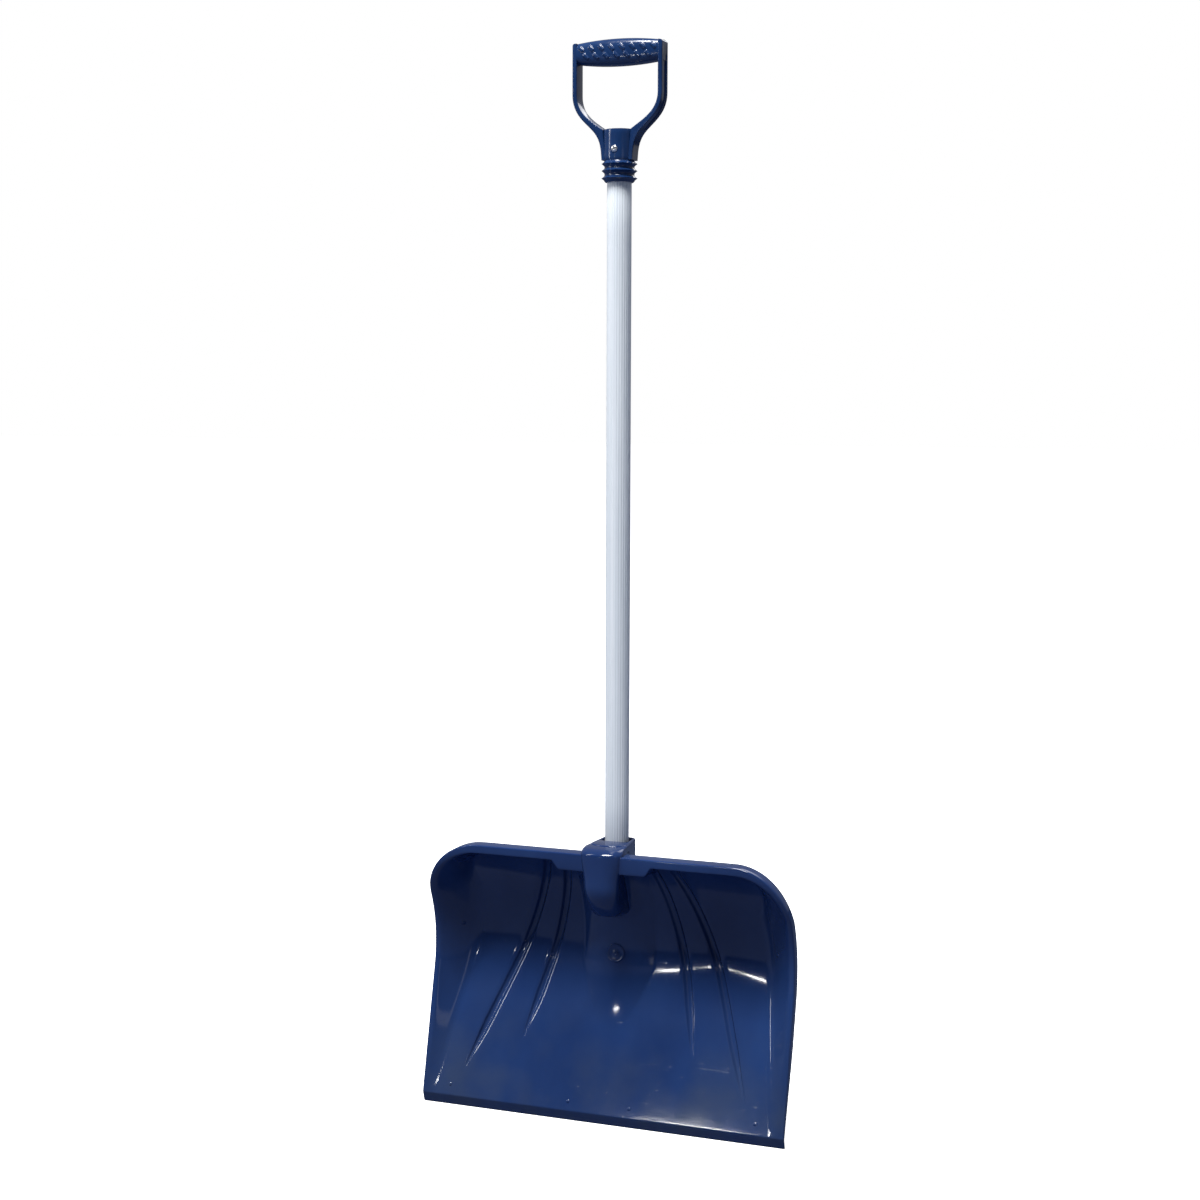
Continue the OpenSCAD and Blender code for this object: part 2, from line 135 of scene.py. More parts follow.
def pan_y(z):
    """Front of the pan along its middle: a ramp, a bend, and a back that curls forward."""
    curl = BELLY_Y - CURL_R + np.sqrt(CURL_R**2 - np.clip(z - BELLY_Z, 0, CURL_R) ** 2)
    return np.select(
        [z < LIP_H, z < RAMP_Z, z < BEND_Z, z < BELLY_Z],
        [LIP_Y + FOOT_SLOPE * (z - LIP_H),
         cubic(z, LIP_H, LIP_Y, FOOT_SLOPE, RAMP_Z, RAMP_Y, RAMP_SLOPE),
         cubic(z, RAMP_Z, RAMP_Y, RAMP_SLOPE, BEND_Z, BEND_Y, BEND_SLOPE),
         cubic(z, BEND_Z, BEND_Y, BEND_SLOPE, BELLY_Z, BELLY_Y, 0)], curl)


GROOVE_D, GROOVE_W = 4.5, 12
GROOVE_WIDEN_H, GROOVE_DEEPEN_H, GROOVE_FOOT_PART = 70, 40, 0.25
INNER_FOOT, INNER_FOOT_X, INNER_LEAN = 85, 108, 0.243
OUTER_FOOT, OUTER_FOOT_X, OUTER_LEAN = 45, 177, 0.375
BOSS_H, BOSS_W, BOSS_FOOT = 15, 92, 104
BOSS_WIDEN_H, BOSS_RISE_H = 75, 90
LEAST_PART = 0.1
HOLLOW_D, HOLLOW_X, HOLLOW_HALF_W, HOLLOW_RISE_H = 3, 125, 45, 50


def inner_x(z):
    """Centre line of the inner channel."""
    return INNER_FOOT_X - INNER_LEAN * (z - INNER_FOOT)


def outer_x(z):
    """Centre line of the outer channel."""
    return OUTER_FOOT_X - OUTER_LEAN * (z - OUTER_FOOT)


def groove_half(z, foot):
    widen = GROOVE_FOOT_PART + (z - foot) / GROOVE_WIDEN_H
    return GROOVE_W / 2 * np.maximum(LEAST_PART, np.clip(widen, 0, 1))


def groove_at(x, z, centre, foot):
    """Depth of a channel: flat-bottomed, with rounded sides."""
    w = groove_half(z, foot)
    d = np.minimum(np.abs(np.abs(x) - centre) / w, 1)
    return GROOVE_D * np.clip((z - foot) / GROOVE_DEEPEN_H, 0, 1) * (1 - d**3) ** 1.8


def boss_half(z):
    widen = np.sqrt(np.clip((z - BOSS_FOOT) / BOSS_WIDEN_H, 0, 1))
    return BOSS_W / 2 * np.maximum(LEAST_PART, widen)


def boss_at(x, z):
    """Height of the raised middle below the socket."""
    u = np.minimum(np.abs(x) / boss_half(z), 1)
    return BOSS_H * smooth((z - BOSS_FOOT) / BOSS_RISE_H) * (1 - u**2)


def belly_at(x, z):
    """The upper pan is a little deeper where the channels run."""
    across = np.exp(-(((np.abs(x) - HOLLOW_X) / HOLLOW_HALF_W) ** 2))
    return HOLLOW_D * smooth((z - BEND_Z) / HOLLOW_RISE_H) * across


# ---------------------------------------------------------------- the hood over the shaft's end

HOOD_FOOT, HOOD_FOOT_W, HOOD_W, HOOD_WIDEN_H = 241, 11, 21.5, 12
HOOD_FLARE, HOOD_FLARE_Z, HOOD_TAPER, HOOD_TAPER_H = 4.7, 285, 3, 50
HOOD_Y, HOOD_DEPTH, HOOD_ROUND, HOOD_FILLET_R = -4, 14, 0.95, 4
NOSE_LEAN, NOSE_LEAN_H, NOSE_UNDER, NOSE_UNDER_H = 28, 45, 16, 6
DOME_IN, DOME_BACK = 3.7, 24
SLOT_Y, SLOT_LAP = 40, 2.2
TUBE_HALF, TUBE_R = 19.7, 8
TUBE_BACK = SHAFT_Y + SLEEVE_R + FIT_GAP + WALL_T


def dome(z):
    """0 up to the flange's top, 1 at the socket's lip, on a quarter circle."""
    v = np.clip((z - BLADE_H) / (SOCKET_TOP - BLADE_H), 0, 1)
    return 1 - np.sqrt(1 - v**2)


def hood_half(z):
    """Half-width of the hood: it widens from its nose up into the flange."""
    widen = 1 - (1 - np.clip((z - HOOD_FOOT) / HOOD_WIDEN_H, 0, 1)) ** 1.8
    taper = HOOD_TAPER * (1 - smooth((z - HOOD_FOOT) / HOOD_TAPER_H))
    flare = HOOD_FLARE * smooth((z - HOOD_FLARE_Z) / (BLADE_H - HOOD_FLARE_Z))
    return mix(HOOD_FOOT_W, HOOD_W, widen) - taper + flare - DOME_IN * dome(z)


def hood_front(z):
    """Front of the hood: a nose that leans back, a straight front and a domed top."""
    lean = (1 - np.clip((z - HOOD_FOOT) / NOSE_LEAN_H, 0, 1)) ** 2
    under = (1 - np.clip((z - HOOD_FOOT) / NOSE_UNDER_H, 0, 1)) ** 1.5
    return HOOD_Y + NOSE_LEAN * lean + NOSE_UNDER * under + DOME_BACK * dome(z)


def hood_fillet(x, z):
    """Rise of the pan into the foot of the hood's wall."""
    beside = np.maximum(np.abs(x) - hood_half(z), 0)
    below = np.maximum(HOOD_FOOT - z, 0)
    r = HOOD_FILLET_R
    d = np.clip(np.hypot(beside, below), 0, r)
    return r - np.sqrt(r * r - (r - d) ** 2)


def floor_y(x, z):
    """Front of the pan with its channels and its raised middle, without the rim."""
    return (pan_y(z) + belly_at(x, z) - boss_at(x, z) - hood_fillet(x, z)
            + groove_at(x, z, inner_x(z), INNER_FOOT) + groove_at(x, z, outer_x(z), OUTER_FOOT))


# ---------------------------------------------------------------- the rim

RIM_SIDE_W, RIM_TOP_W, RIM_HOOD_W = 6, 10, 21
RIM_STEP_X, RIM_STEP_W = 53, 11
SIDE_SLOPE_FOOT, SIDE_SLOPE_GROW, TOP_SLOPE_W = 12.5, 0.145, 4
FILLET_PART, RISE_SOFT = 0.4, 0.07
EDGE_R, LIP_EDGE_R, LIP_SOFT = 2, 1, 0.3
SKIRT_T, SKIRT_FOOT_D, SKIRT_SIDE_D, SKIRT_TOP_D, SKIRT_RISE_H = 3, 3.5, 13, 20, 120
LEAST_WALL = 0.5


def inset_of(x, z):
    """Distance in from the scoop's outline."""
    a, b = np.abs(x) - CORNER_X, z - CORNER_Z
    in_corner = (a > 0) & (b > 0)
    return np.where(in_corner, CORNER_R - np.hypot(a, b), np.minimum(HALF_W - np.abs(x), BLADE_H - z))


def upness(x, z):
    """0 where the nearest part of the outline is a side, 1 where it is the top."""
    a, b = np.abs(x) - CORNER_X, z - CORNER_Z
    turn = smooth(np.degrees(np.arctan2(np.maximum(b, 0), np.maximum(a, 1e-9))) / 90)
    return np.where(b <= 0, 0.0, np.where(a <= 0, 1.0, turn))


def rim_face_w(x, up):
    """Width of the rim's face: wider along the top, and widest beside the hood."""
    at_hood = 1 - smooth((np.abs(x) - RIM_STEP_X) / RIM_STEP_W)
    return mix(RIM_SIDE_W, mix(RIM_TOP_W, RIM_HOOD_W, at_hood), up)


def side_slope_w(z):
    return SIDE_SLOPE_FOOT + SIDE_SLOPE_GROW * z


def slope_w(z, up):
    """Width of the slope from the rim's face down to the pan's floor."""
    return mix(side_slope_w(z), TOP_SLOPE_W, up)


def slope_rise(s):
    """Rise from the pan's floor (0) to the rim's face (1): a fillet, then a straight wall."""
    curve = s**2 / (FILLET_PART * (2 - FILLET_PART))
    wall = (2 * s - FILLET_PART) / (2 - FILLET_PART)
    rise = np.where(s < FILLET_PART, curve, wall)
    return np.where(s <= 0, 0, soft_min(rise, 1.0, RISE_SOFT))


def skirt_depth(z, up):
    """Fore and aft depth of the skirt that stiffens the rim."""
    side = mix(SKIRT_FOOT_D, SKIRT_SIDE_D, smooth(z / SKIRT_RISE_H))
    return mix(side, SKIRT_TOP_D, up)


def front_y(x, z):
    """The scoop's whole front face, with its edges rounded and its slot for the hood."""
    up = upness(x, z)
    inset = inset_of(x, z)
    s = 1 - (inset - rim_face_w(x, up)) / slope_w(z, up)
    rim = rim_y(z)
    base = np.maximum(floor_y(x, z), rim)
    surface = base - (base - rim) * slope_rise(s)
    surface = soft_max(surface, LIP_Y * z / LIP_H, LIP_SOFT)
    edge = EDGE_R - np.clip(inset, 0, EDGE_R)
    foot = LIP_EDGE_R - np.clip(z, 0, LIP_EDGE_R)
    surface = surface + EDGE_R - np.sqrt(EDGE_R**2 - edge**2)
    surface = surface + LIP_EDGE_R - np.sqrt(LIP_EDGE_R**2 - foot**2)
    in_slot = (np.abs(x) < hood_half(z) - SLOT_LAP) & (z > HOOD_FOOT)
    return np.where(in_slot, np.maximum(surface, SLOT_Y), surface)


def back_y(x, z):
    """The scoop's back: one wall behind the front, and the skirt along the outline."""
    skirt = rim_y(z) + skirt_depth(z, upness(x, z))
    front = front_y(x, z)
    plain = np.where(inset_of(x, z) < SKIRT_T, skirt, front + WALL_T)
    return np.maximum(plain, front + LEAST_WALL)


# ---------------------------------------------------------------- meshes


def run(*stops):
    """Positions through the stops, each given as (end, number of steps from the one before)."""
    out = [stops[0]]
    for end, steps in stops[1:]:
        out.extend(np.linspace(out[-1], end, steps + 1)[1:])
    return np.array(out, float)


def make_piece(name, points, faces, material, nodes, sharp=32):
    """A mesh piece in millimetres that rides on the tool and stands for the CAD nodes."""
    mesh = bpy.data.meshes.new(name)
    mesh.from_pydata((np.asarray(points) * MM).tolist(), [], faces)
    mesh.validate()
    mesh.shade_smooth()
    mesh.set_sharp_from_angle(angle=math.radians(sharp))
    mesh.materials.append(material)
    obj = bpy.data.objects.new(name, mesh)
    bpy.context.scene.collection.objects.link(obj)
    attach(obj, "root")
    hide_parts(*nodes)


class Solid:
    """Gathers closed shells into one mesh."""

    def __init__(self):
        self.points, self.faces = [], []

    def add(self, points, faces):
        start = len(self.points)
        self.points.extend([tuple(p) for p in points])
        self.faces.extend([tuple(i + start for i in f) for f in faces])

    def loft(self, rings, closed=False):
        """Skins a stack of equal rings; the ends are capped unless the stack closes on itself."""
        n, m = len(rings[0]), len(rings)
        faces = []
        for j in range(m if closed else m - 1):
            for i in range(n):
                a, b = j * n + i, j * n + (i + 1) % n
                c, d = (j + 1) % m * n + (i + 1) % n, (j + 1) % m * n + i
                faces.append((a, b, c, d))
        if not closed:
            faces.append(tuple(range(n - 1, -1, -1)))
            faces.append(tuple((m - 1) * n + i for i in range(n)))
        self.add([p for ring in rings for p in ring], faces)

    def lathe(self, profile, centre, axis, steps=96):
        """Turns (radius, height) points about an axis "Z", "Y" or "-Y" through the centre."""
        rings = []
        for r, h in profile:
            ring = []
            for k in range(steps):
                t = 2 * math.pi * k / steps
                a, b = r * math.cos(t), r * math.sin(t)
                place = (a, b, h) if axis == "Z" else (a, -h, b) if axis == "-Y" else (-a, h, b)
                ring.append(np.array(centre) + place)
            rings.append(ring)
        self.loft(rings)


# Half the widths of the steep bands in the grid, and where some of its lines run.
SLOT_BAND, SKIRT_BAND = 0.15, 0.2
LOWEST_OUTER, BOSS_GAP, SLOT_GAP = 30, 4, 2
LOWER_PAN_Z, UPPER_PAN_Z, RIM_BAND = 60, 290, 5


def to_outline(x, z):
    """Bends a square grid into the rounded corners, ring by ring."""
    a, b = (x - CORNER_X) / CORNER_R, (z - CORNER_Z) / CORNER_R
    inside = (a <= 0) | (b <= 0)
    a, b = np.maximum(a, 1e-9), np.maximum(b, 1e-9)
    r = np.maximum(a, b)
    t = np.radians(np.where(a >= b, 45 * b / a, 90 - 45 * a / b))
    return (np.where(inside, x, CORNER_X + CORNER_R * r * np.cos(t)),
            np.where(inside, z, CORNER_Z + CORNER_R * r * np.sin(t)))


def scoop_columns(z):
    """Grid columns on the right half, gathered round the middle, the channels and the rim."""
    gi, go = float(groove_half(z, INNER_FOOT)), float(groove_half(z, OUTER_FOOT))
    xi, xo = float(inner_x(z)), float(outer_x(max(z, LOWEST_OUTER)))
    b = min(float(boss_half(z)), xi - gi - BOSS_GAP)
    hood = min(float(hood_half(z)) - SLOT_LAP, b - SLOT_GAP)
    foot = HALF_W - RIM_SIDE_W - side_slope_w(z)
    skirt = HALF_W - SKIRT_T
    return run(0, (hood - SLOT_BAND, 12), (hood + SLOT_BAND, 1), (b, 16), (xi - gi, 12),
               (xi + gi, 20), (xo - go, 8), (xo + go, 20), (foot, 8), (HALF_W - RIM_SIDE_W, 22),
               (skirt - SKIRT_BAND, 5), (skirt + SKIRT_BAND, 1), (HALF_W, 9))


def scoop_rows():
    """Heights of the grid's rows, gathered at the lip, the flange's foot and the skirt."""
    hood_rim, top_rim, skirt = BLADE_H - RIM_HOOD_W, BLADE_H - RIM_TOP_W, BLADE_H - SKIRT_T
    return run(0, (LIP_EDGE_R, 4), (LIP_H - 2, 4), (LIP_H + 2, 8), (LOWER_PAN_Z, 16), (RAMP_Z, 18),
               (BEND_Z, 16), (BELLY_Z, 24), (CORNER_Z, 18), (UPPER_PAN_Z, 22),
               (hood_rim - RIM_BAND, 6), (hood_rim + 1, 10), (top_rim - RIM_BAND, 4), (top_rim + 1, 10),
               (skirt - SKIRT_BAND, 5), (skirt + SKIRT_BAND, 1), (BLADE_H, 9))


def scoop_shell():
    """The pan, its rim and its skirt as one closed shell."""
    rows = scoop_rows()
    right = np.array([scoop_columns(z) for z in rows])
    x = np.concatenate([-right[:, :0:-1], right], axis=1)
    z = np.repeat(rows[:, None], x.shape[1], axis=1)
    bent_x, bent_z = to_outline(np.abs(x), z)
    x, z = np.sign(x) * bent_x, bent_z
    nz, nx = x.shape
    front = np.stack([x, front_y(x, z), z], axis=2).reshape(-1, 3)
    back = np.stack([x, back_y(x, z), z], axis=2).reshape(-1, 3)
    count = nx * nz
    faces = []
    for j in range(nz - 1):
        for i in range(nx - 1):
            a = j * nx + i
            faces.append((a, a + 1, a + nx + 1, a + nx))
            faces.append((count + a, count + a + nx, count + a + nx + 1, count + a + 1))
    loop = (list(range(nx - 1)) + [j * nx + nx - 1 for j in range(nz - 1)]
            + [(nz - 1) * nx + i for i in range(nx - 1, 0, -1)]
            + [j * nx for j in range(nz - 1, 0, -1)])
    for p, q in zip(loop, loop[1:] + loop[:1]):
        faces.append((q, p, p + count, q + count))
    shell = Solid()
    shell.add(np.concatenate([front, back]), faces)
    return shell


def raised_disc(shell, x, z, profile, steps=40):
    """A small round mark on the pan; profile holds (radius, height) from the middle outwards."""
    step = 0.5
    slope_z = float(front_y(x, z + step) - front_y(x, z - step)) / (2 * step)
    rings = [[np.array((x, float(front_y(x, z)) - profile[0][1], z))] * steps]
    for r, h in profile[1:]:
        ring = []
        for k in range(steps):
            t = 2 * math.pi * k / steps
            px, pz = x + r * math.cos(t), z + r * math.sin(t) / math.hypot(1, slope_z)
            ring.append(np.array((px, float(front_y(px, pz)) - h, pz)))
        rings.append(ring)
    shell.loft([list(reversed(r)) for r in rings])


GATE_Z = 192.8
GATE_PROFILE = [(0, 0.6), (0.8, 0.8), (1.2, 1.8), (2.2, 2.1), (3.0, 1.7), (3.6, 0.4), (5, 0.15),
                (8.4, 0.12), (9.0, 0.6), (9.8, 1.4), (10.6, 1.4), (11.2, 0.6), (11.8, -0.4),
                (11.0, -2.0), (0.1, -2.0)]
PIPS = [(126, 190), (88, 178), (201, 210), (193, 25), (38.6, 23.3)]
PIP_PROFILE = [(0, 1.0), (0.9, 0.95), (1.7, 0.6), (2.3, 0.1), (2.7, -0.5), (0.1, -1.5)]


def moulding_marks(shell):
    """The sprue's ring in the middle and the ejector pins' pips."""
    raised_disc(shell, 0, GATE_Z, GATE_PROFILE)
    for side in (-1, 1):
        for x, z in PIPS:
            raised_disc(shell, side * x, z, PIP_PROFILE)


SOCKET_POINTS = 300
HOOD_STEPS = 60
NOSE_FINE_H, NOSE_H = 7, 36
LIP_ROUND, MOUTH_ROUND = 1.4, 1
QUARTER_STEPS = 5


def quarter(k):
    """Angle of step k when a quarter turn is taken in equal steps."""
    return math.radians(90 / QUARTER_STEPS * k)


def polar_ring(outline, z):
    """Resamples a closed outline round the shaft's axis, so that rings of one stack match."""
    outline = np.array(outline, float)
    rel = outline - (0, SHAFT_Y)
    angle = np.unwrap(np.arctan2(rel[:, 1], rel[:, 0]))
    radius = np.hypot(rel[:, 0], rel[:, 1])
    order = np.argsort(angle)
    wrapped = np.concatenate([angle[order] - 2 * math.pi, angle[order], angle[order] + 2 * math.pi])
    radii = np.tile(radius[order], 3)
    turn = np.linspace(-math.pi, math.pi, SOCKET_POINTS, endpoint=False)
    r = np.interp(turn, wrapped, radii)
    return [(a * math.cos(t), SHAFT_Y + a * math.sin(t), z) for t, a in zip(turn, r)]


def dense(points, gap=0.6):
    """Adds points along an outline's straight runs."""
    out = []
    for p, q in zip(points, points[1:] + points[:1]):
        p, q = np.array(p, float), np.array(q, float)
        n = max(1, int(np.linalg.norm(q - p) / gap))
        out.extend(p + (q - p) * k / n for k in range(n))
    return out


def arc(cx, cy, r, a0, a1, n=8):
    return [(cx + r * math.cos(math.radians(a)), cy + r * math.sin(math.radians(a)))
            for a in np.linspace(a0, a1, n)]


def socket_outline(z, shrink=0.0):
    """The socket in plan: the hood in front, drawn in to the plain tube behind."""
    level = max(z, HOOD_FOOT)
    w = float(hood_half(level)) - shrink
    y0 = float(hood_front(level)) + shrink
    yc = y0 + HOOD_DEPTH - shrink
    front = []
    for k in range(HOOD_STEPS + 1):
        a = math.pi * k / HOOD_STEPS
        c, s = math.cos(a), math.sin(a)
        front.append((w * math.copysign(abs(c) ** HOOD_ROUND, c), yc - (yc - y0) * s**HOOD_ROUND))
    half, back, r = TUBE_HALF - shrink, TUBE_BACK - shrink, TUBE_R
    left = arc(-half + r, back - r, r, 180, 90)
    right = arc(half - r, back - r, r, 90, 0)
    return dense(front + left + right)


MOUTH_W, MOUTH_D, MOUTH_DEPTH, MOUTH_R = 34, 24, 22, 4


def mouth_outline(grow=0.0):
    """The socket's well in plan: a rounded rectangle round the shaft."""
    a, b, r = MOUTH_W / 2 + grow, MOUTH_D / 2 + grow, MOUTH_R
    rear, front = SHAFT_Y + b - r, SHAFT_Y - b + r
    return dense(arc(a - r, rear, r, 0, 90) + arc(-a + r, rear, r, 90, 180)
                 + arc(-a + r, front, r, 180, 270) + arc(a - r, front, r, 270, 360))


def socket_body():
    """The hooded socket: outer wall, rounded lip, and the well that the shaft stands in."""
    levels = run(HOOD_FOOT, (HOOD_FOOT + NOSE_FINE_H, 14), (HOOD_FOOT + NOSE_H, 20),
                 (BLADE_H, 16), (SOCKET_TOP - LIP_ROUND, 8))
    rings = [polar_ring(socket_outline(z), z) for z in levels]
    for k in range(1, QUARTER_STEPS + 1):
        a = quarter(k)
        rings.append(polar_ring(socket_outline(SOCKET_TOP, LIP_ROUND * (1 - math.cos(a))),
                                SOCKET_TOP - LIP_ROUND + LIP_ROUND * math.sin(a)))
    for k in range(QUARTER_STEPS + 1):
        a = quarter(k)
        rings.append(polar_ring(mouth_outline(MOUTH_ROUND * (1 - math.sin(a))),
                                SOCKET_TOP - MOUTH_ROUND + MOUTH_ROUND * math.cos(a)))
    rings.append(polar_ring(mouth_outline(), SOCKET_TOP - MOUTH_DEPTH))
    body = Solid()
    body.loft(rings)
    return body


# ---------------------------------------------------------------- shaft

FLUTES = 28
FLUTE_D, FLUTE_ROUND = 0.45, 0.55
POINTS_PER_FLUTE = 10
SLEEVE_EDGE = 0.6


def fluted_sleeve():
    """A tube whose outside carries rounded flutes from end to end."""
    n = FLUTES * POINTS_PER_FLUTE
    turn = np.arange(n) * 2 * math.pi / n
    u = (np.arange(n) % POINTS_PER_FLUTE) / POINTS_PER_FLUTE
    outer = SLEEVE_R - FLUTE_D * (1 - np.abs(np.sin(math.pi * u)) ** FLUTE_ROUND)
    z0, z1 = sleeve_low[2], sleeve_high[2]

    def ring(radius, z):
        return [(r * math.cos(t), SHAFT_Y + r * math.sin(t), z) for r, t in zip(radius, turn)]

    inner = np.full(n, CORE_R)
    levels = np.linspace(z0 + SLEEVE_EDGE, z1 - SLEEVE_EDGE, 9)
    rings = [ring(outer - SLEEVE_EDGE, z0)] + [ring(outer, z) for z in levels]
    rings += [ring(outer - SLEEVE_EDGE, z1), ring(inner, z1), ring(inner, z0)]
    body = Solid()
    body.loft(rings, closed=True)
    return body


# ---------------------------------------------------------------- grip

GRIP_Z0 = grip_low[2]
COLLAR_R, COLLAR_H, RING_FOOT_IN, RING_TOP = 18.25, 60, 0.8, 0.96
RING_Z, RING_HALF_H, RING_RISE = (4.5, 13, 21), 3.4, 3.4
CAP_Z = GRIP_Z0 + COLLAR_H
KNEE_Z = GRIP_Z0 + 101
ARM_OUT = grip_high[0]
ARM_T, ARM_HALF_D, ARM_TOP_R, ARM_EDGE_R, ARM_CHANNEL_D = 5.4, 10.5, 2.5, 1.3, 1.8
BAR_MID, BAR_END = (12.5, 15.5), (10.5, 11.2)
BAR_Z = grip_high[2] - BAR_MID[1]
BAR_SQUARE, BAR_POINTS, BAR_SECTIONS = 0.7, 144, 201
STUD_PITCH, STUD_H, STUD_ROW = 12.6, 1.1, 4.6
STUD_HALF_L, STUD_HALF_W, STUD_SOFT_L, STUD_SOFT_W = 4.6, 2.3, 1.2, 1.0
STUD_LAST_CELL, STUD_FRONT_PART, STUD_SINK = 3.8, 0.95, 0.5


def collar():
    """The grip's socket: neck, three sharp rings, plain barrel and flat cap."""
    profile = [(0.1, 0), (COLLAR_R - 1.8, 0), (COLLAR_R - 1.4, 0.6)]
    for z in RING_Z:
        for k in range(-6, 7):
            u = k / 6
            bulge = (1 - abs(u)) ** 1.6 if abs(u) > 0.12 else 1 - abs(u) * 0.4
            profile.append((COLLAR_R - RING_FOOT_IN + RING_RISE * min(bulge, RING_TOP),
                            z + RING_HALF_H * u))
    profile += [(COLLAR_R - 0.2, 26), (COLLAR_R, 28), (COLLAR_R, 40), (COLLAR_R, 54)]
    profile += [(COLLAR_R, COLLAR_H - 1.2), (COLLAR_R - 0.35, COLLAR_H - 0.35),
                (COLLAR_R - 1.2, COLLAR_H), (0.1, COLLAR_H)]
    body = Solid()
    body.lathe(profile, (0, SHAFT_Y, GRIP_Z0), "Z", 128)
    return body


def bezier(p, t):
    p = np.array(p, float)
    s = 1 - t
    return s**3 * p[0] + 3 * s**2 * t * p[1] + 3 * s * t**2 * p[2] + t**3 * p[3]


# The arm's outer edge down to its knee and on down its fin, and its inner edge.
KNEE_END = (ARM_OUT - 29, KNEE_Z - 47)
KNEE_CURVE = [(ARM_OUT, KNEE_Z), (ARM_OUT, KNEE_Z - 26), (ARM_OUT - 20, KNEE_Z - 34), KNEE_END]
FIN_CURVE = [KNEE_END, (ARM_OUT - 35, KNEE_Z - 56), (COLLAR_R + 1.5, KNEE_Z - 64),
             (COLLAR_R + 0.6, KNEE_Z - 76)]
INNER_CURVE = [(ARM_OUT - ARM_T, KNEE_Z), (ARM_OUT - ARM_T, KNEE_Z - 22),
               (ARM_OUT - 22, KNEE_Z - 30), (COLLAR_R - 1, CAP_Z)]


def arm_section(outer, inner, channel):
    """Ring round the arm between an inner and an outer point; the outer side carries a channel."""
    outer, inner = np.array(outer), np.array(inner)
    across = outer - inner
    t = np.linalg.norm(across)
    across /= t
    d = ARM_HALF_D
    r = min(ARM_EDGE_R, t / 3)
    half = []
    for a in np.linspace(0, 90, 5):
        half.append((r - r * math.cos(math.radians(a)), d - r + r * math.sin(math.radians(a))))
    for a in np.linspace(90, 0, 5):
        half.append((t - r + r * math.cos(math.radians(a)), d - r + r * math.sin(math.radians(a))))
    for depth, y in ((0, d - 3.2), (0.4, d - 3.9), (1, d - 4.4), (1, 2)):
        half.append((t - channel * depth, y))
    ring = [(a, -y) for a, y in half] + [(a, y) for a, y in reversed(half)]
    return [(inner[0] + across[0] * a, SHAFT_Y + y, inner[1] + across[1] * a) for a, y in ring]


def arm(side):
    """One arm, from the handle bar's end down to the collar."""
    stations = []
    top = BAR_Z + BAR_END[1]
    for k in range(QUARTER_STEPS + 1):
        a = quarter(k)
        shoulder = (ARM_OUT - ARM_TOP_R + ARM_TOP_R * math.sin(a),
                    top - ARM_TOP_R + ARM_TOP_R * math.cos(a))
        stations.append((shoulder, (ARM_OUT - ARM_T, top - 0.02 * k), 0))
    for z in run(BAR_Z - 2, (KNEE_Z, 12)):
        stations.append(((ARM_OUT, z), (ARM_OUT - ARM_T, z), smooth((BAR_Z - z) / 10)))
    for t in np.linspace(0, 1, 25)[1:]:
        fade = 1 - smooth((t - 0.75) / 0.25)
        stations.append((bezier(KNEE_CURVE, t), bezier(INNER_CURVE, t), fade))
    for t in np.linspace(0, 1, 17)[1:]:
        stations.append((bezier(FIN_CURVE, t), (COLLAR_R - 1 - 4 * t, CAP_Z - 35 * t), 0))
    rings = []
    for outer, inner, channel in stations:
        ring = arm_section(outer, inner, ARM_CHANNEL_D * float(channel))
        ring = [(side * x, y, z) for x, y, z in ring]
        rings.append(ring if side > 0 else ring[::-1])
    body = Solid()
    body.loft(rings)
    return body


def stud_height(x, z, face):
    """Height of the slanted studs, in two staggered rows."""
    height = 0
    for row, shift in ((1, 0.5), (-1, 0)):
        cell = np.round(x / STUD_PITCH - shift) + shift
        u, v = x - cell * STUD_PITCH, z - row * STUD_ROW
        along = (u * face - v) / math.sqrt(2)
        across = (u * face + v) / math.sqrt(2)
        mask = (smooth((STUD_HALF_L - np.abs(along)) / STUD_SOFT_L)
                * smooth((STUD_HALF_W - np.abs(across)) / STUD_SOFT_W))
        height = height + mask * (np.abs(cell) < STUD_LAST_CELL)
    return STUD_H * np.minimum(height, 1)


def handle_bar():
    """The handle bar: squarish, swollen in the middle, studded front and back."""
    rings = []
    for x in np.linspace(-ARM_OUT + 1, ARM_OUT - 1, BAR_SECTIONS):
        u = x / ARM_OUT
        ry, rz = (mix(e, m, 1 - u * u) for e, m in zip(BAR_END, BAR_MID))
        ring = []
        for k in range(BAR_POINTS):
            t = 2 * math.pi * k / BAR_POINTS
            c, s = math.cos(t), math.sin(t)
            y = (ry - STUD_SINK) * math.copysign(abs(c) ** BAR_SQUARE, c)
            z = rz * math.copysign(abs(s) ** BAR_SQUARE, s)
            face = math.copysign(1, y)
            if abs(s) < STUD_FRONT_PART:
                y += face * float(stud_height(x, z, -face)) * smooth(abs(c) / 0.5)
            ring.append((x, SHAFT_Y + y, BAR_Z + z))
        rings.append(ring)
    body = Solid()
    body.loft(rings)
    return body


def grip_body():
    body = collar()
    for part in (arm(1), arm(-1), handle_bar()):
        body.add(part.points, part.faces)
    return body


# ---------------------------------------------------------------- screws


SHANK_PART, HEAD_H_PART, RECESS_W_PART, RECESS_L_PART = 0.49, 0.62, 0.14, 0.52
RECESS_D, HEAD_RIM_H = 0.9, 0.25


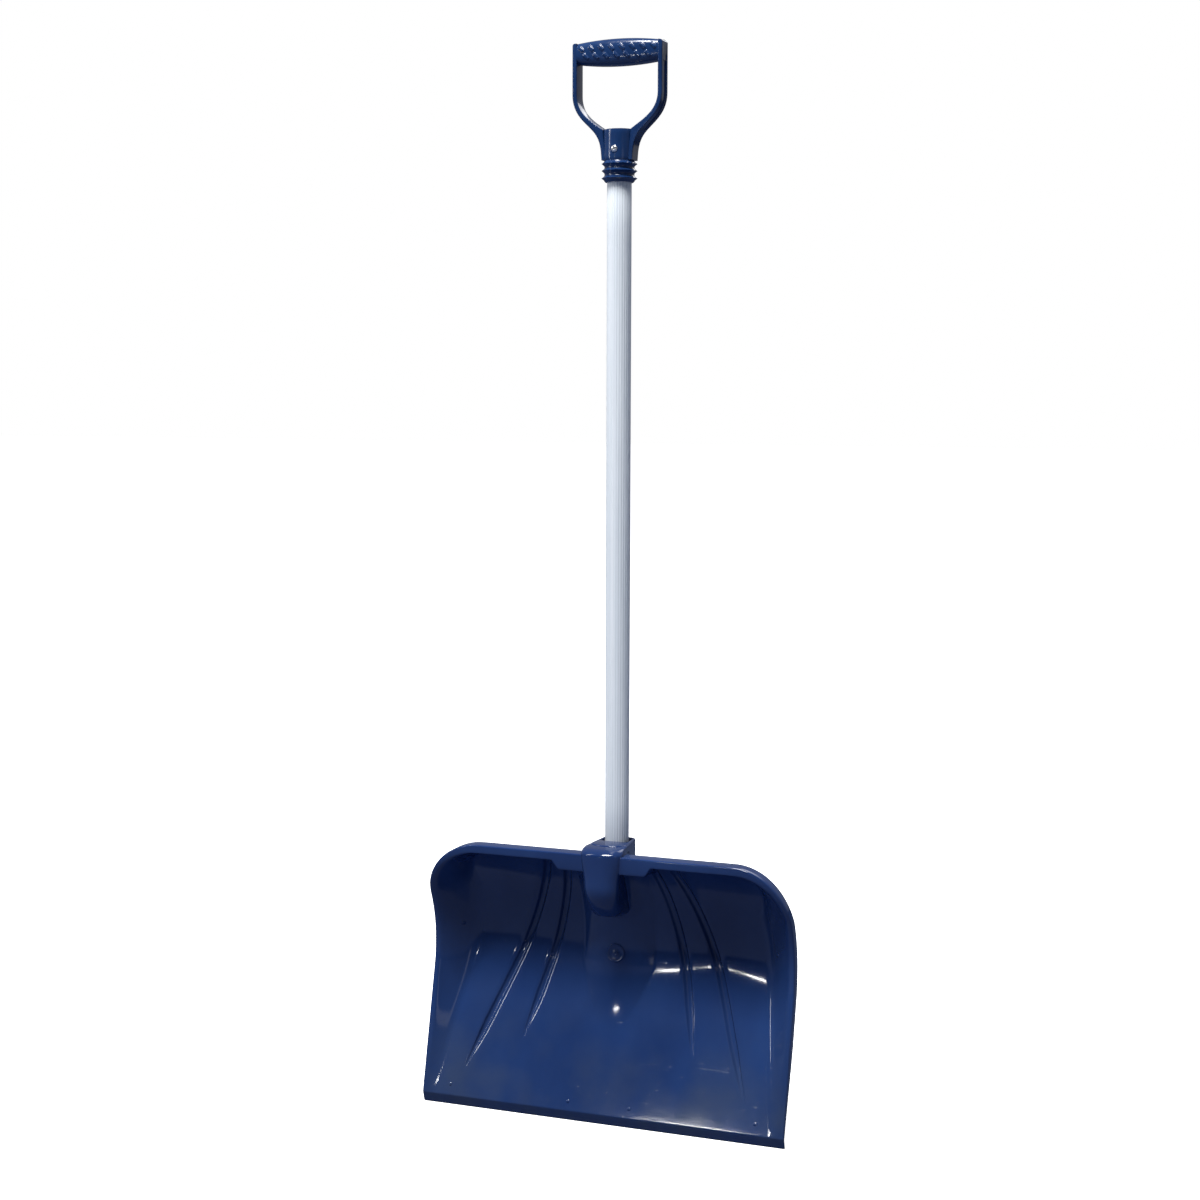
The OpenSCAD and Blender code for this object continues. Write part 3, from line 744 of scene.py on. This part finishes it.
def pan_screw(low, high, axis):
    """A domed screw head with a cross recess, on a plain shank."""
    head_r = (high[0] - low[0]) / 2
    length = high[1] - low[1]
    shank_r = head_r * SHANK_PART
    head_h = head_r * HEAD_H_PART
    outer_y = low[1] if axis == "-Y" else high[1]
    sign = -1 if axis == "-Y" else 1
    tip = head_h - length
    profile = [(0.05, tip), (shank_r * 0.6, tip + 1), (shank_r, tip + 4),
               (shank_r, 0), (head_r - 0.2, 0), (head_r, HEAD_RIM_H)]
    for k in range(1, 10):
        a = math.radians(10 * k)
        profile.append((head_r * math.cos(a), HEAD_RIM_H + (head_h - HEAD_RIM_H) * math.sin(a)))
    profile.append((0.05, head_h))
    body = Solid()
    body.lathe(profile, (0, outer_y - sign * head_h, (low[2] + high[2]) / 2), axis, 72)
    arm_w, arm_l = head_r * RECESS_W_PART, head_r * RECESS_L_PART
    points = []
    for x, y, z in body.points:
        h = (y - outer_y) * sign + head_h
        dx, dz = abs(x), abs(z - (low[2] + high[2]) / 2)
        cross = max(smooth((arm_w - dx) / 0.25 + 0.5) * smooth((arm_l - dz) / 0.4),
                    smooth((arm_w - dz) / 0.25 + 0.5) * smooth((arm_l - dx) / 0.4))
        if h > head_h * 0.5:
            y -= sign * RECESS_D * float(cross)
        points.append((x, y, z))
    body.points = points
    return body


# ---------------------------------------------------------------- materials


PLASTIC_IOR = 1.49


def new_material(name, color, roughness, metallic=0.0):
    material = bpy.data.materials.new(name)
    material.use_nodes = True
    nodes, links = material.node_tree.nodes, material.node_tree.links
    shader = nodes["Principled BSDF"]
    shader.inputs["Base Color"].default_value = (*color, 1)
    shader.inputs["Roughness"].default_value = roughness
    shader.inputs["Metallic"].default_value = metallic
    shader.inputs["IOR"].default_value = PLASTIC_IOR
    return material, nodes, links, shader


def noise(nodes, links, scale, detail=3.0, stretch=(1, 1, 1), roughness=0.5):
    """Noise in object space; stretch draws it out along an axis."""
    where = nodes.new("ShaderNodeTexCoord")
    place = nodes.new("ShaderNodeMapping")
    place.inputs["Scale"].default_value = stretch
    texture = nodes.new("ShaderNodeTexNoise")
    texture.inputs["Scale"].default_value = scale
    texture.inputs["Detail"].default_value = detail
    texture.inputs["Roughness"].default_value = roughness
    links.new(where.outputs["Object"], place.inputs["Vector"])
    links.new(place.outputs["Vector"], texture.inputs["Vector"])
    return texture.outputs["Fac"]


def ramp(nodes, links, source, low, high, color_low, color_high):
    """Turns a grey value into a colour or grey between two stops."""
    node = nodes.new("ShaderNodeValToRGB")
    node.color_ramp.elements[0].position = low
    node.color_ramp.elements[1].position = high
    node.color_ramp.elements[0].color = (*color_low, 1)
    node.color_ramp.elements[1].color = (*color_high, 1)
    links.new(source, node.inputs["Fac"])
    return node.outputs["Color"]


def grey(value):
    return (value, value, value)


def bump(nodes, links, shader, sources):
    """Chains height sources, each (output, strength, distance in metres), into the normal."""
    normal = None
    for source, strength, distance in sources:
        node = nodes.new("ShaderNodeBump")
        node.inputs["Strength"].default_value = strength
        node.inputs["Distance"].default_value = distance
        links.new(source, node.inputs["Height"])
        if normal:
            links.new(normal, node.inputs["Normal"])
        normal = node.outputs["Normal"]
    links.new(normal, shader.inputs["Normal"])


def scratches(nodes, links, scale, stretch):
    """Thin broken lines, as wear leaves on plastic."""
    lines = noise(nodes, links, scale, 2, stretch, 0.4)
    return ramp(nodes, links, lines, 0.66, 0.70, grey(0), grey(1))


def lower_scuffs_and_sheen(nodes, links):
    """Patchy greying of the lowest part of the scoop: scuffs where snow and ground rub it, and partly a
    painted grey reflection.
    """
    where = nodes.new("ShaderNodeTexCoord")
    split = nodes.new("ShaderNodeSeparateXYZ")
    links.new(where.outputs["Object"], split.inputs["Vector"])
    low_part = ramp(nodes, links, split.outputs["Z"], 0.02, 0.16, grey(1), grey(0))
    patches = ramp(nodes, links, noise(nodes, links, 14, 5), 0.38, 0.7, grey(0.05), grey(0.65))
    both = nodes.new("ShaderNodeMath")
    both.operation = "MULTIPLY"
    links.new(low_part, both.inputs[0])
    links.new(patches, both.inputs[1])
    return both.outputs["Value"]


# The colour sockets of a mix node, which shares its names between its kinds of data.
MIX_A, MIX_B, MIX_RESULT = 6, 7, 2


def blade_plastic():
    """Dark navy moulded plastic: glossy, faintly wavy, with flow marks, and greyish scuffs low down
    that also stand for a painted reflection.
    """
    material, nodes, links, shader = new_material("blade_plastic", (0.010, 0.028, 0.11), 0.16)
    flow = noise(nodes, links, 9, 4, (1, 1, 0.45))
    fresh = ramp(nodes, links, flow, 0.3, 0.75, (0.008, 0.023, 0.088), (0.014, 0.038, 0.13))
    blend = nodes.new("ShaderNodeMix")
    blend.data_type = "RGBA"
    links.new(lower_scuffs_and_sheen(nodes, links), blend.inputs["Factor"])
    links.new(fresh, blend.inputs[MIX_A])
    # The grey of the low patches: scuff wear, and partly a painted reflection.
    blend.inputs[MIX_B].default_value = (0.036, 0.052, 0.092, 1)
    links.new(blend.outputs[MIX_RESULT], shader.inputs["Base Color"])
    cloud = noise(nodes, links, 26, 5, (1, 1, 1), 0.6)
    links.new(ramp(nodes, links, cloud, 0.3, 0.8, grey(0.06), grey(0.14)), shader.inputs["Roughness"])
    bump(nodes, links, shader, [
        (noise(nodes, links, 16, 2), 0.08, 0.001),
        (noise(nodes, links, 900, 2), 0.04, 0.0002),
        (scratches(nodes, links, 60, (1, 0.3, 9)), 0.12, 0.0002)])
    return material


def grip_plastic():
    """Mid-blue moulded plastic of the grip, a little duller than the scoop."""
    material, nodes, links, shader = new_material("grip_plastic", (0.009, 0.030, 0.10), 0.18)
    flow = noise(nodes, links, 30, 4)
    links.new(ramp(nodes, links, flow, 0.3, 0.75, (0.006, 0.022, 0.078), (0.011, 0.036, 0.115)),
              shader.inputs["Base Color"])
    links.new(ramp(nodes, links, noise(nodes, links, 80, 5), 0.3, 0.8, grey(0.13), grey(0.24)),
              shader.inputs["Roughness"])
    bump(nodes, links, shader, [(noise(nodes, links, 60, 2), 0.06, 0.001),
                                (noise(nodes, links, 1500, 2), 0.06, 0.0002)])
    return material


def sleeve_plastic():
    """Light blue-grey satin plastic, extruded, with faint streaks along its length."""
    material, nodes, links, shader = new_material("sleeve_plastic", (0.69, 0.73, 0.755), 0.42)
    streak = noise(nodes, links, 160, 4, (1, 1, 0.02))
    links.new(ramp(nodes, links, streak, 0.25, 0.8, (0.63, 0.68, 0.71), (0.75, 0.78, 0.80)),
              shader.inputs["Base Color"])
    links.new(ramp(nodes, links, noise(nodes, links, 40, 5), 0.3, 0.8, grey(0.34), grey(0.5)),
              shader.inputs["Roughness"])
    bump(nodes, links, shader, [(noise(nodes, links, 700, 3), 0.08, 0.0002)])
    return material


def plated_steel():
    """Bright zinc plating with a fine spangle."""
    material, nodes, links, shader = new_material("zinc_plate", (0.82, 0.82, 0.80), 0.22, metallic=1.0)
    spangle = noise(nodes, links, 700, 3)
    links.new(ramp(nodes, links, spangle, 0.3, 0.7, (0.74, 0.74, 0.72), (0.9, 0.9, 0.88)),
              shader.inputs["Base Color"])
    links.new(ramp(nodes, links, noise(nodes, links, 1200, 3), 0.3, 0.7, grey(0.16), grey(0.34)),
              shader.inputs["Roughness"])
    bump(nodes, links, shader, [(noise(nodes, links, 2500, 2), 0.1, 0.0001)])
    return material


def drawn_steel():
    """The plain steel tube inside the sleeve, streaked along its length."""
    material, nodes, links, shader = new_material("drawn_steel", (0.5, 0.5, 0.52), 0.35, metallic=1.0)
    streak = noise(nodes, links, 300, 3, (1, 1, 0.03))
    links.new(ramp(nodes, links, streak, 0.3, 0.7, (0.42, 0.42, 0.44), (0.56, 0.56, 0.58)),
              shader.inputs["Base Color"])
    links.new(ramp(nodes, links, streak, 0.3, 0.7, grey(0.28), grey(0.45)), shader.inputs["Roughness"])
    bump(nodes, links, shader, [(streak, 0.1, 0.0001)])
    return material


# ---------------------------------------------------------------- stage


def build_stage():
    """A pale floor and a white surround for the camera; all other rays meet a dim, bluish room."""
    material, nodes, links, shader = new_material("pale_floor", (0.86, 0.86, 0.86), 0.7)
    links.new(ramp(nodes, links, noise(nodes, links, 3, 4), 0.3, 0.7, grey(0.85), grey(0.88)),
              shader.inputs["Base Color"])
    shader.inputs["Emission Color"].default_value = (1, 1, 1, 1)
    shader.inputs["Emission Strength"].default_value = 1.0
    dim = nodes.new("ShaderNodeBsdfDiffuse")
    dim.inputs["Color"].default_value = (0.085, 0.11, 0.185, 1)
    path = nodes.new("ShaderNodeLightPath")
    choice = nodes.new("ShaderNodeMixShader")
    links.new(path.outputs["Is Camera Ray"], choice.inputs[0])
    links.new(dim.outputs[0], choice.inputs[1])
    links.new(shader.outputs[0], choice.inputs[2])
    links.new(choice.outputs[0], nodes["Material Output"].inputs["Surface"])
    far = 30
    corners = [(-far, -far, 0), (far, -far, 0), (far, far, 0), (-far, far, 0)]
    mesh = bpy.data.meshes.new("floor")
    mesh.from_pydata(corners, [], [(0, 1, 2, 3)])
    mesh.materials.append(material)
    floor = bpy.data.objects.new("floor", mesh)
    bpy.context.scene.collection.objects.link(floor)

    world = bpy.data.worlds.new("studio")
    bpy.context.scene.world = world
    world.use_nodes = True
    nodes, links = world.node_tree.nodes, world.node_tree.links
    background = nodes["Background"]
    where = nodes.new("ShaderNodeTexCoord")
    split = nodes.new("ShaderNodeSeparateXYZ")
    links.new(where.outputs["Generated"], split.inputs["Vector"])
    room = nodes.new("ShaderNodeMapRange")
    room.inputs["From Min"].default_value = -0.9
    room.inputs["From Max"].default_value = 0.6
    room.inputs["To Min"].default_value = 0.045
    room.inputs["To Max"].default_value = 0.3
    links.new(split.outputs["Y"], room.inputs["Value"])
    path = nodes.new("ShaderNodeLightPath")
    seen = nodes.new("ShaderNodeMath")
    seen.operation = "MAXIMUM"
    links.new(room.outputs["Result"], seen.inputs[0])
    links.new(path.outputs["Is Camera Ray"], seen.inputs[1])
    links.new(seen.outputs["Value"], background.inputs["Strength"])
    links.new(ramp(nodes, links, seen.outputs["Value"], 0.05, 0.3, (0.6, 0.82, 1.4), grey(1)),
              background.inputs["Color"])


def aim(position, target):
    """Places a light and turns its -Z to the target."""
    direction = np.array(target, float) - np.array(position, float)
    direction /= np.linalg.norm(direction)
    side = np.cross(direction, (0, 0, 1))
    side /= np.linalg.norm(side)
    rise = np.cross(side, direction)
    return Matrix([(side[i], rise[i], -direction[i], position[i]) for i in range(3)]
                  + [(0, 0, 0, 1)])


def area_light(name, azimuth, elevation, distance, size, power, target):
    """A light of size (width, height), aimed at the target.

    The azimuth is 0 in front of the tool and positive towards its right.
    """
    light = bpy.data.lights.new(name, "AREA")
    light.shape = "RECTANGLE"
    light.size, light.size_y = size
    light.energy = power
    a, e = math.radians(azimuth), math.radians(elevation)
    place = np.array(target) + distance * np.array(
        (math.sin(a) * math.cos(e), -math.cos(a) * math.cos(e), math.sin(e)))
    obj = bpy.data.objects.new(name, light)
    obj.matrix_world = aim(place, target)
    bpy.context.scene.collection.objects.link(obj)


def build_lights():
    blade_middle = (0, 0.03, 0.2)
    middle = (0, 0.05, 0.6)
    area_light("key", -15.3, 16, 2.6, (0.2, 0.03), 3, blade_middle)
    area_light("top", -8, 68, 6.0, (2.0, 2.0), 570, blade_middle)
    area_light("strip left", -60, 35, 2.4, (0.12, 2.0), 14, blade_middle)
    area_light("strip right", 44, 24, 1.3, (0.2, 1.1), 0.45, blade_middle)
    area_light("rear", 170, 45, 3.0, (1.6, 1.6), 25, middle)


def build_camera():
    """The eye stands a little to the right of the tool, at two thirds of its height."""
    camera = bpy.data.cameras.new("camera")
    camera.sensor_width = 36
    camera.lens = 62.55
    obj = bpy.data.objects.new("camera", camera)
    right = (0.9338, 0.3579, 0.0030)
    up = (-0.0384, 0.0919, 0.9950)
    forward = (-0.3559, 0.9292, -0.0996)
    place = (0.8568, -2.2363, 0.8634)
    obj.matrix_world = Matrix([(right[i], up[i], -forward[i], place[i]) for i in range(3)]
                              + [(0, 0, 0, 1)])
    bpy.context.scene.collection.objects.link(obj)
    bpy.context.scene.camera = obj


# ---------------------------------------------------------------- assembly

build_camera()
build_stage()
build_lights()
bpy.context.scene.view_settings.view_transform = "Standard"

navy, blue, pale_grey, zinc = blade_plastic(), grip_plastic(), sleeve_plastic(), plated_steel()

scoop = scoop_shell()
moulding_marks(scoop)
make_piece("scoop", scoop.points, scoop.faces, navy, ["blade"], 50)
socket = socket_body()
make_piece("socket", socket.points, socket.faces, navy, ["blade"])
sleeve = fluted_sleeve()
make_piece("sleeve", sleeve.points, sleeve.faces, pale_grey, ["shaft_sleeve"], 50)
grip = grip_body()
make_piece("grip", grip.points, grip.faces, blue, ["d_grip"])
screw = pan_screw(grip_screw_low, grip_screw_high, "-Y")
make_piece("grip_screw_head", screw.points, screw.faces, zinc, ["grip_screw"])
screw = pan_screw(blade_screw_low, blade_screw_high, "Y")
make_piece("blade_screw_head", screw.points, screw.faces, zinc, ["blade_screw"])
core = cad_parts["shaft_core"]
core.data.materials.clear()
core.data.materials.append(drawn_steel())
